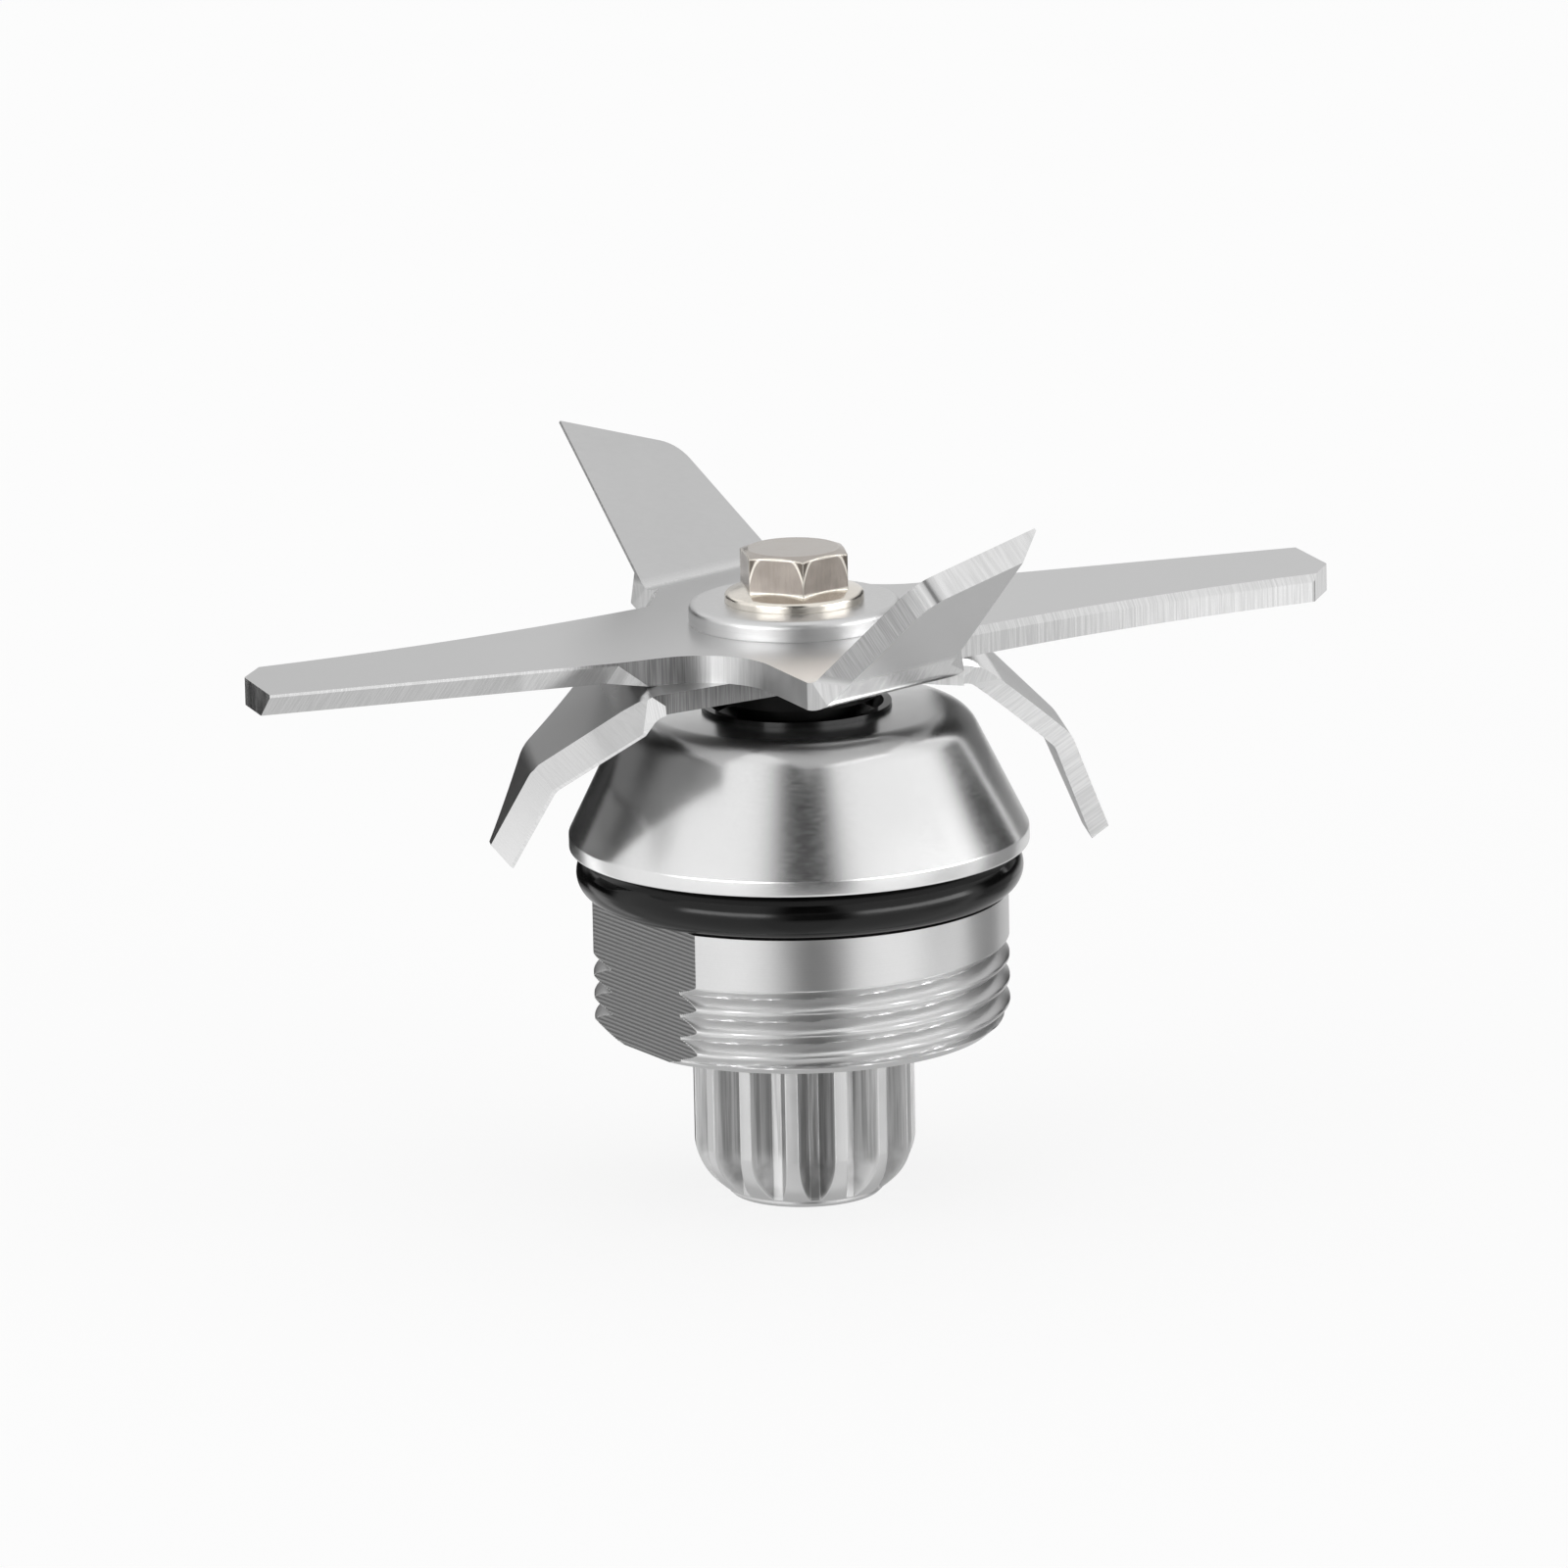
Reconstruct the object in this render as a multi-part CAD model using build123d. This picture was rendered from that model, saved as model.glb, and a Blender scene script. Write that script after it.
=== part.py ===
from build123d import *
from math import atan2, cos, degrees, radians, sin, tan
import os

# Blender blade assembly, millimetres. Z is the spin axis, pointing up; the origin is the middle of the
# drive spline's end face, and the flat arms of the upper blade lie along X.

# Housing: one turned piece with a milled flat
HOUSING_LIFT = 17.0          # end face of the spline to the housing's bottom face
THREAD_R = 21.0              # crest radius of the jar thread
THREAD_LAND = 14.1           # bottom face to the ledge under the O-ring
ENTRY_CUT = 1.8              # entry chamfer, inward from the crest
ENTRY_H = 1.5
FLAT_DEPTH = 2.35            # milled flat below the crest
FLAT_AZIMUTH = 189.0
LIP_REACH = 2.2              # rim at the foot of the cone, past the crest
LIP_H = 1.6
CONE_H = 12.5
CONE_LEAN = 6.1              # how far the cone comes in up to the top face, without its round
CONE_TOP_ROUND = 4.0
LIP_ROUND = 0.6
BORE_ENTRY = 0.5             # chamfer at the mouth of the bearing bore

# O-ring under the lip
O_RING_SECTION = 4.8
O_RING_SHY = 0.65            # O-ring inside the lip's rim
O_RING_ROOM = 0.05

# Shaft seal in the top of the housing
SEAL_W = 3.6                 # sleeve to the seal's outside
SEAL_DEPTH = 6.5
SEAL_WALL = 1.3
SEAL_SEAT_H = 1.0            # web between the seal and the upper bearing
SEAL_SEAT_STEP = 1.2
SEAL_RIM_H = 0.5             # rubber rim that stands proud of the housing
SEAL_RIM_W = 0.8
SEAL_LIP_H = 4.4             # sealing edge below the housing's top face
SEAL_LIP_W = 0.7
SEAL_WEB = 1.0
GARTER_WIRE_R = 0.5

# Two deep-groove ball bearings, 10 x 26 x 8
BEARING_BORE_R = 5.0
BEARING_R = 13.0
BEARING_W = 8.0
BALL_R = 2.381
BALLS = 7
RACE_OPEN = 1.65             # pitch circle to the shoulder of either ring
RACE_ROOM = 0.12             # ball to race and ball to cage
CAGE_W = 1.6
CAGE_ROOM = 0.2              # closed side of the cage to its shield
CAGE_FRONT = 1.4             # mid-plane to the open side of the cage
SHIELD_T = 0.4
SHIELD_STEP = 0.7            # how far the shield reaches into the outer ring
SHIELD_INSET = 0.45
SHIELD_GAP = 0.25
BEARING_APART = 6.3          # length of both spacers
SPACER_WALL = 2.0

# Internal retaining ring below the lower bearing
RING_T = 1.2
RING_BITE = 0.6              # depth of its groove in the bore
RING_W = 2.4
RING_LUG_R = 1.9
RING_LUG_HOLE_R = 0.9
RING_GAP_DEG = 44.0
RING_AZIMUTH = 283.3         # middle of the gap, a quarter turn from the flat

# Drive spline, pressed on the lower end of the shaft
SPLINE_R = 11.2
SPLINE_DEPTH = 2.85          # crest to the floor of a groove
SPLINE_TEETH = 14
SPLINE_CREST_W = 0.9
SPLINE_FLOOR_W = 1.0
SPLINE_AZIMUTH = 239.8       # middle of one crest
SPLINE_RIM_STEP = 0.45       # end rim inside the groove floors
SPLINE_RIM_H = 0.7
SPLINE_DOME_H = 5.5          # end face to the full radius
SPLINE_DOME_R = 6.5
SPLINE_END = 5.0             # closed end under the shaft
SPLINE_CLEAR = 0.4           # spline shoulder to the retaining ring
SPLINE_BOSS_WALL = 1.3

# Rotor stack above the upper bearing
SLEEVE_WALL = 1.0            # sleeve on the shaft, which the seal runs on
FLINGER_REACH = 2.2          # flinger past the sleeve
FLINGER_H = 2.8
BLADE_LIFT = 4.1             # housing's top face to the lower blade
KEY_CUT = 1.0                # depth of each of the shaft's two flats
SHAFT_SHY = 0.4              # shaft end below the washer, so the bolt clamps the blades
WASHER_R = 10.65
WASHER_T = 2.05
WASHER_PLAY = 0.3            # washer's hole past the bolt
WASHER_ROUND = 0.7
BOLT_R = 3.0
BOLT_REACH = 16.0
BOLT_TIP = 1.0               # free depth of the tapped hole past the bolt
FLANGE_R = 7.0
FLANGE_H = 0.95
FLANGE_RISE = 0.6            # cone of the flange up to the hexagon
HEX_ACROSS = 10.0
HEX_AZIMUTH = 225.65         # normal of one face of the hexagon
HEAD_H = 5.4
HEX_CHAMFER = 0.9

# Upper blade: two flat arms and two arms folded up
UPPER_T = 2.75
ARM_TIP = 58.8
ARM_TIP_LEAD = 6.2
ARM_ROOT = 23.2              # where the leading edge starts to taper
ARM_ROOT_LEAD = 9.55
NOTCH_X = 10.6
NOTCH_ROUND = 8.0
ARM_END = (0.6, -2.3)        # trailing corner of the arm's end: back from the tip, across
ARM_CUT = (4.1, -6.6)        # where the cut corner meets the trailing edge: the same
ARM_TRAIL_MID = (38.8, -7.8)
ARM_TRAIL_ROOT = (11.0, -13.2)
ARM_CORNER_ROUND = 1.5
TIP_ROUND = 0.6
TRAIL_CHAMFER = 0.7          # along the top of the trailing edge
RISER_AZIMUTH = 111.7        # direction that the up-folded arm leans out
RISER_FOLD = 21.6            # axis to its fold
RISER_SLOPE = 45.0
RISER_LEAD = 0.2             # leading end of its fold, across from the foot of its normal
RISER_TRAIL = 19.3
RISER_CORNER = (16.1, 15.6)  # upper trailing corner: across, up the slope
RISER_CORNER_ROUND = 4.0
RISER_TIP = (3.3, 21.2)
BEVEL_W = 3.2                # ground edge of a flat arm, on the underside
BEVEL_LAND = 0.3
BEVEL_RUNOUT = 3.2           # length over which it runs out
RISER_BEVEL_W = 3.0          # also on the underside, which faces out
RISER_BEVEL_START = 0.3      # up the slope from the fold
RISER_RUNOUT = 2.0

# Lower blade: two arms folded down in two steps
LOWER_T = 2.05
LOWER_HUB_R = 12.5
DROP_AZIMUTH = -16.4
DROP_FOLD = 16.9
DROP_LEAD = 18.6
DROP_TRAIL = 12.2
DROP_HUB_LEAD = 11.0
DROP_SLOPES = (42.6, 69.4)
DROP_LENGTHS = (14.3, 10.3)
DROP_TRAIL_MID = (3.6, 13.0)  # trailing edge on its way to the tip: across, along the arm
DROP_TIP = 1.8               # tip of the top surface, across from the fold's foot
DROP_TIP_W = 1.2
DROP_BEVEL_W = 5.5           # ground edge, on the top side, measured across
DROP_RUNOUT = 3.2
FOLD_R = 2.0                 # inside radius of every fold

# Clearances
FIT = 0.03                   # pieces of one body that are pressed or slid together
RUN = 0.08                   # seal lip on its sleeve
MARGIN = 0.3                 # how far cutters reach past what they cut

# Radii that follow from the sizes above
FLAT_TO_AXIS = THREAD_R - FLAT_DEPTH
LIP_R = THREAD_R + LIP_REACH
CONE_TOP_R = LIP_R - CONE_LEAN
O_RING_MID_R = LIP_R - O_RING_SHY - O_RING_SECTION / 2
PITCH_R = (BEARING_BORE_R + BEARING_R) / 2
INNER_SHOULDER_R = PITCH_R - RACE_OPEN
OUTER_SHOULDER_R = PITCH_R + RACE_OPEN
SLEEVE_R = BEARING_BORE_R + SLEEVE_WALL
SEAL_R = SLEEVE_R + SEAL_W
KEY_HALF = BEARING_BORE_R - KEY_CUT
SPLINE_ROOT_R = SPLINE_R - SPLINE_DEPTH
SPLINE_RIM_R = SPLINE_ROOT_R - SPLINE_RIM_STEP

# Heights that follow from the sizes above
LEDGE_Z = HOUSING_LIFT + THREAD_LAND
LIP_Z = LEDGE_Z + O_RING_SECTION + 2 * O_RING_ROOM
CONE_Z = LIP_Z + LIP_H
TOP_Z = CONE_Z + CONE_H
SEAL_Z = TOP_Z - SEAL_DEPTH
UPPER_BEARING_Z = SEAL_Z - SEAL_SEAT_H - BEARING_W
LOWER_BEARING_Z = UPPER_BEARING_Z - BEARING_APART - BEARING_W
RING_Z = LOWER_BEARING_Z - RING_T
LOWER_BLADE_Z = TOP_Z + BLADE_LIFT
UPPER_BLADE_Z = LOWER_BLADE_Z + LOWER_T
WASHER_Z = UPPER_BLADE_Z + UPPER_T
FLANGE_Z = WASHER_Z + WASHER_T
SHAFT_TOP_Z = WASHER_Z - SHAFT_SHY
UP = Vector(0, 0, 1)


def outline(points):
    return make_face(Polyline(*points, close=True))


def soften(face, corner, radius):
    """Round the corner of a face that lies nearest to a point."""
    return fillet(face.vertices().sort_by_distance(Vector(*corner))[0], radius)


def turn(face):
    """Revolve a (radius, height) face about the spin axis."""
    return revolve(Plane.XZ * face, Axis.Z)


def tube(inner, outer, low, high):
    ring = Circle(outer) - Circle(inner)
    return Pos(0, 0, low) * extrude(ring, high - low)


def both_ways(shape):
    """The shape and its copy half a turn on."""
    return shape + Rot(0, 0, 180) * shape


def bearing_housing():
    bore_top = SEAL_Z - SEAL_SEAT_H
    groove_floor = O_RING_MID_R - O_RING_SECTION / 2 - O_RING_ROOM
    groove_top = LOWER_BEARING_Z + FIT
    groove_low = RING_Z - FIT
    section = outline([
        (BEARING_R + BORE_ENTRY, HOUSING_LIFT),
        (THREAD_R - ENTRY_CUT, HOUSING_LIFT),
        (THREAD_R, HOUSING_LIFT + ENTRY_H),
        (THREAD_R, LEDGE_Z),
        (groove_floor, LEDGE_Z),
        (groove_floor, LIP_Z),
        (LIP_R, LIP_Z),
        (LIP_R, CONE_Z),
        (CONE_TOP_R, TOP_Z),
        (SEAL_R, TOP_Z),
        (SEAL_R, SEAL_Z),
        (SEAL_R - SEAL_SEAT_STEP, SEAL_Z),
        (SEAL_R - SEAL_SEAT_STEP, bore_top),
        (BEARING_R, bore_top),
        (BEARING_R, groove_top),
        (BEARING_R + RING_BITE, groove_top),
        (BEARING_R + RING_BITE, groove_low),
        (BEARING_R, groove_low),
        (BEARING_R, HOUSING_LIFT + BORE_ENTRY),
    ])
    section = soften(section, (CONE_TOP_R, TOP_Z), CONE_TOP_ROUND)
    section = soften(section, (LIP_R, CONE_Z), LIP_ROUND)
    section = soften(section, (LIP_R, LIP_Z), LIP_ROUND / 2)
    waste = THREAD_R - FLAT_TO_AXIS + MARGIN
    flat = Box(waste, 2 * THREAD_R, THREAD_LAND, align=(Align.MIN, Align.CENTER, Align.MIN))
    flat = Pos(FLAT_TO_AXIS, 0, HOUSING_LIFT) * flat
    return turn(section) - Rot(0, 0, FLAT_AZIMUTH) * flat


def housing_o_ring():
    middle = (LEDGE_Z + LIP_Z) / 2
    return turn(Pos(O_RING_MID_R, middle) * Circle(O_RING_SECTION / 2))


def seal_lip():
    """Radius and height of the seal's running edge."""
    return SLEEVE_R + RUN, TOP_Z - SEAL_LIP_H


def shaft_seal():
    wall_r = SEAL_R - FIT
    inner_r = wall_r - SEAL_WALL
    rim_z = TOP_Z + SEAL_RIM_H
    lip_r, lip_z = seal_lip()
    lip_back = lip_r + SEAL_LIP_W
    web_z = lip_z + 2 * SEAL_WEB
    return turn(outline([
        (inner_r, SEAL_Z),
        (wall_r, SEAL_Z),
        (wall_r, rim_z),
        (wall_r - SEAL_RIM_W, rim_z),
        (inner_r, TOP_Z - SEAL_WEB),
        (lip_back, web_z),
        (lip_r, lip_z),
        (lip_back, lip_z - SEAL_WEB),
        (lip_back, web_z - SEAL_WEB),
        (inner_r, TOP_Z - 2 * SEAL_WEB - SEAL_RIM_H),
    ]))


def seal_garter_spring():
    lip_r, lip_z = seal_lip()
    middle_r = lip_r + SEAL_LIP_W + FIT + GARTER_WIRE_R
    return turn(Pos(middle_r, lip_z - SEAL_WEB / 4) * Circle(GARTER_WIRE_R))


def retaining_ring():
    outer = BEARING_R + RING_BITE - FIT
    inner = BEARING_R - RING_W
    half_gap = RING_GAP_DEG / 2
    mouth = outline([
        (0, 0),
        (2 * outer * cos(radians(half_gap)), -2 * outer * sin(radians(half_gap))),
        (2 * outer * cos(radians(half_gap)), 2 * outer * sin(radians(half_gap))),
    ])
    ring = Circle(outer) - Circle(inner) - mouth
    lug_r = inner - RING_LUG_R / 2
    for side in (-1, 1):
        lug_angle = side * (half_gap + RING_GAP_DEG / 5)
        place = Rot(0, 0, lug_angle) * Pos(lug_r, 0)
        ring += place * Circle(RING_LUG_R)
        ring -= place * Circle(RING_LUG_HOLE_R)
    return Rot(0, 0, RING_AZIMUTH) * Pos(0, 0, RING_Z) * extrude(ring, RING_T)


def ball_places():
    return PolarLocations(PITCH_R, BALLS)


def bearing_outer_ring():
    """Outer ring about its own mid-plane, with a race and two steps for the shields."""
    half = BEARING_W / 2
    step = half - SHIELD_INSET - SHIELD_T
    step_r = OUTER_SHOULDER_R + SHIELD_STEP
    ring = tube(OUTER_SHOULDER_R, BEARING_R - FIT, -half, half)
    ring -= tube(0.5 * OUTER_SHOULDER_R, step_r, step, half + MARGIN)
    ring -= tube(0.5 * OUTER_SHOULDER_R, step_r, -half - MARGIN, -step)
    return ring - Torus(PITCH_R, BALL_R + RACE_ROOM)


def bearing_inner_ring():
    half = BEARING_W / 2
    return tube(BEARING_BORE_R + FIT, INNER_SHOULDER_R, -half, half) - Torus(PITCH_R, BALL_R + RACE_ROOM)


def bearing_balls():
    return Compound(children=[place * Sphere(BALL_R) for place in ball_places()])


def bearing_cage():
    """Crown cage: a ring that is closed above and has a snap-in pocket for each ball."""
    back = BEARING_W / 2 - SHIELD_INSET - SHIELD_T - CAGE_ROOM
    cage = tube(PITCH_R - CAGE_W / 2, PITCH_R + CAGE_W / 2, -CAGE_FRONT, back)
    for place in ball_places():
        cage -= place * Sphere(BALL_R + RACE_ROOM)
    return cage


def bearing_shield(side):
    far = BEARING_W / 2 - SHIELD_INSET
    low = far - SHIELD_T if side > 0 else -far
    return tube(INNER_SHOULDER_R + SHIELD_GAP, OUTER_SHOULDER_R + SHIELD_STEP - FIT, low, low + SHIELD_T)


def bearing(name, low):
    """Every piece of one bearing, as a dictionary of nodes."""
    pieces = {
        "outer_ring": bearing_outer_ring(),
        "inner_ring": bearing_inner_ring(),
        "balls": bearing_balls(),
        "cage": bearing_cage(),
        "top_shield": bearing_shield(1),
        "bottom_shield": bearing_shield(-1),
    }
    lift = Pos(0, 0, low + BEARING_W / 2)
    return {f"{name}_bearing_{piece}": lift * shape for piece, shape in pieces.items()}


def outer_bearing_spacer():
    outer = BEARING_R - FIT
    return tube(outer - SPACER_WALL, outer, LOWER_BEARING_Z + BEARING_W, UPPER_BEARING_Z)


def inner_bearing_spacer():
    inner = BEARING_BORE_R + FIT
    return tube(inner, inner + SPACER_WALL, LOWER_BEARING_Z + BEARING_W, UPPER_BEARING_Z)


def key_profile(radius, half):
    """Round with two flats, for the top of the shaft and the holes in the blades."""
    return Circle(radius) & Rectangle(2 * radius, 2 * half)


def drive_shaft():
    key_z = LOWER_BLADE_Z - SHAFT_SHY
    shaft = Pos(0, 0, SPLINE_END) * extrude(Circle(BEARING_BORE_R), key_z - SPLINE_END)
    shaft += Pos(0, 0, key_z) * extrude(key_profile(BEARING_BORE_R, KEY_HALF), SHAFT_TOP_Z - key_z)
    tapped_low = FLANGE_Z - BOLT_REACH - BOLT_TIP
    return shaft - Pos(0, 0, tapped_low) * extrude(Circle(BOLT_R + FIT), SHAFT_TOP_Z - tapped_low)


def drive_spline():
    shoulder_z = RING_Z - SPLINE_CLEAR
    boss_r = BEARING_BORE_R + SPLINE_BOSS_WALL
    rim_edge = SPLINE_RIM_R - SPLINE_RIM_H / 2
    dome_start = (SPLINE_RIM_R + MARGIN, SPLINE_RIM_H)
    dome_end = (SPLINE_R, SPLINE_DOME_H)
    edges = Polyline(
        dome_end,
        (SPLINE_R, shoulder_z),
        (boss_r, shoulder_z),
        (boss_r, LOWER_BEARING_Z),
        (BEARING_BORE_R + FIT, LOWER_BEARING_Z),
        (BEARING_BORE_R + FIT, SPLINE_END),
        (0, SPLINE_END),
        (0, 0),
        (rim_edge, 0),
        (SPLINE_RIM_R, SPLINE_RIM_H / 2),
        (SPLINE_RIM_R, SPLINE_RIM_H),
        dome_start,
    )
    dome = RadiusArc(dome_start, dome_end, -SPLINE_DOME_R)
    blank = turn(make_face(edges + dome))
    pitch_half = 180 / SPLINE_TEETH
    mouth_r = SPLINE_R + MARGIN
    mouth_half = mouth_r * sin(radians(pitch_half)) - SPLINE_CREST_W / 2
    groove = outline([
        (SPLINE_ROOT_R, -SPLINE_FLOOR_W / 2),
        (mouth_r, -mouth_half),
        (mouth_r, mouth_half),
        (SPLINE_ROOT_R, SPLINE_FLOOR_W / 2),
    ])
    grooves = Sketch() + [
        Rot(0, 0, SPLINE_AZIMUTH + (2 * tooth + 1) * pitch_half) * groove for tooth in range(SPLINE_TEETH)
    ]
    return blank - extrude(grooves, shoulder_z)


def blade_spacer():
    flinger_r = SLEEVE_R + FLINGER_REACH
    sleeve = outline([
        (BEARING_BORE_R + FIT, UPPER_BEARING_Z + BEARING_W),
        (SLEEVE_R, UPPER_BEARING_Z + BEARING_W),
        (SLEEVE_R, LOWER_BLADE_Z - FLINGER_H),
        (flinger_r, LOWER_BLADE_Z - FLINGER_H),
        (flinger_r, LOWER_BLADE_Z),
        (BEARING_BORE_R + FIT, LOWER_BLADE_Z),
    ])
    return turn(sleeve)


def folded_strip(azimuth, path, radius, thickness, span):
    """Sheet strip that follows a path of (outward, height) points on its top surface.

    The span runs across the strip, from its leading side (negative) to its trailing side.
    """
    out = Vector(cos(radians(azimuth)), sin(radians(azimuth)), 0)
    across = out.cross(UP)
    top = FilletPolyline(*path, radius=radius)
    section = make_face(offset(top, thickness, side=Side.RIGHT))
    return extrude(Plane(across * span[0], x_dir=out, z_dir=across) * section, span[1] - span[0])


def slope_plane(azimuth, start, angle):
    """Plane of a folded arm's top surface: x across to the trailing side, y along the slope."""
    out = Vector(cos(radians(azimuth)), sin(radians(azimuth)), 0)
    across = out.cross(UP)
    along = out * cos(radians(angle)) + UP * sin(radians(angle))
    return Plane(out * start[0] + UP * start[1], x_dir=across, z_dir=across.cross(along))


def grind(stations, thickness, width):
    """Wedge to take off one side of a sheet along an edge.

    Each station is a point of the edge on the side that stays, the direction into the sheet, the normal
    out of the side that stays, and the share of the full cut there. The cut runs out where that is 0.
    """
    rate = width / (thickness - BEVEL_LAND)
    sections = []
    for point, inward, normal, share in stations:
        start = thickness - share * (thickness - BEVEL_LAND)
        corners = (
            (-MARGIN * rate, start - MARGIN),
            (share * width + MARGIN * rate, thickness + MARGIN),
            (-MARGIN * rate, thickness + MARGIN),
        )
        spots = [point + inward * i - normal * depth for i, depth in corners]
        sections.append(Face(Wire.make_polygon(spots, close=True)))
    return loft(sections, ruled=True)


def upper_blade():
    top_z = UPPER_BLADE_Z + UPPER_T
    out = Vector(cos(radians(RISER_AZIMUTH)), sin(radians(RISER_AZIMUTH)), 0)
    across = out.cross(UP)
    tangent = FOLD_R * tan(radians(RISER_SLOPE / 2))
    fold_foot = out * (RISER_FOLD - tangent)
    fold_trail = fold_foot + across * RISER_TRAIL
    fold_lead = fold_foot + across * RISER_LEAD

    # One flat arm and one root of a folded arm, then the same half a turn on
    end_x, end_y = ARM_TIP - ARM_END[0], ARM_END[1]
    cut_x, cut_y = ARM_TIP - ARM_CUT[0], ARM_CUT[1]
    mid_x, mid_y = ARM_TRAIL_MID
    root_x, root_y = ARM_TRAIL_ROOT
    half = [
        (ARM_TIP, ARM_TIP_LEAD),
        (ARM_ROOT, ARM_ROOT_LEAD),
        (NOTCH_X, ARM_ROOT_LEAD),
        (fold_trail.X, fold_trail.Y),
        (fold_lead.X, fold_lead.Y),
        (-root_x, -root_y),
    ]
    trailing = ThreePointArc((-root_x, -root_y), (-mid_x, -mid_y), (-cut_x, -cut_y))
    rest = Polyline((-cut_x, -cut_y), (-end_x, -end_y), (-ARM_TIP, -ARM_TIP_LEAD))
    edges = Polyline(*half) + trailing + rest
    flat = make_face(edges + Rot(0, 0, 180) * edges)
    for turned in (1, -1):
        flat = soften(flat, (turned * NOTCH_X, turned * ARM_ROOT_LEAD), NOTCH_ROUND)
        flat = soften(flat, (turned * root_x, turned * root_y), ARM_CORNER_ROUND)
    flat -= key_profile(BEARING_BORE_R + FIT, KEY_HALF + FIT)
    plate = Pos(0, 0, UPPER_BLADE_Z) * extrude(flat, UPPER_T)

    # Chamfer along the top of each trailing edge, and the two corners of each arm's end
    for turned in (1, -1):
        middle = Vector(turned * mid_x, turned * mid_y, top_z)
        plate = chamfer(plate.edges().sort_by_distance(middle)[0], TRAIL_CHAMFER)
        for x, y in ((cut_x, cut_y), (end_x, end_y)):
            corner = Vector(turned * x, turned * y, UPPER_BLADE_Z + UPPER_T / 2)
            plate = fillet(plate.edges().filter_by(Axis.Z).sort_by_distance(corner)[0], TIP_ROUND)

    # Folded arm: a bent strip, trimmed to its outline square to the slope
    tip_x, tip_y = RISER_TIP
    slope = radians(RISER_SLOPE)
    length = tip_y + 2 * FOLD_R
    path = [
        (RISER_FOLD - tangent - MARGIN / 10, top_z),
        (RISER_FOLD, top_z),
        (RISER_FOLD + length * cos(slope), top_z + length * sin(slope)),
    ]
    strip = folded_strip(RISER_AZIMUTH, path, FOLD_R, UPPER_T, (RISER_LEAD, RISER_TRAIL))
    plane = slope_plane(RISER_AZIMUTH, (RISER_FOLD, top_z), RISER_SLOPE)
    below_fold = -2 * UPPER_T
    trim = outline([
        (RISER_LEAD, below_fold),
        (RISER_TRAIL, below_fold),
        (RISER_TRAIL, 0),
        RISER_CORNER,
        RISER_TIP,
        (RISER_LEAD, 0),
    ])
    trim = soften(trim, RISER_CORNER, RISER_CORNER_ROUND)
    riser = strip & extrude(plane * trim, length, both=True)

    # Ground cutting edges on the leading sides
    def riser_station(y, share):
        x = RISER_LEAD + (tip_x - RISER_LEAD) * y / tip_y
        return plane.from_local_coords(Vector(x, y, 0)), plane.x_dir, plane.z_dir, share

    riser -= grind(
        [
            riser_station(RISER_BEVEL_START, 0),
            riser_station(RISER_BEVEL_START + RISER_RUNOUT, 1),
            riser_station(length, 1),
        ],
        UPPER_T,
        RISER_BEVEL_W,
    )
    fall = (ARM_ROOT_LEAD - ARM_TIP_LEAD) / (ARM_TIP - ARM_ROOT)

    def arm_station(x, share):
        y = ARM_ROOT_LEAD - fall * max(x - ARM_ROOT, 0)
        return Vector(x, y, top_z), Vector(0, -1, 0), UP, share

    arm_edge = grind(
        [
            arm_station(ARM_ROOT - BEVEL_RUNOUT, 0),
            arm_station(ARM_ROOT, 1),
            arm_station(ARM_TIP + BEVEL_W, 1),
        ],
        UPPER_T,
        BEVEL_W,
    )
    return plate + both_ways(riser) - both_ways(arm_edge)


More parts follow.
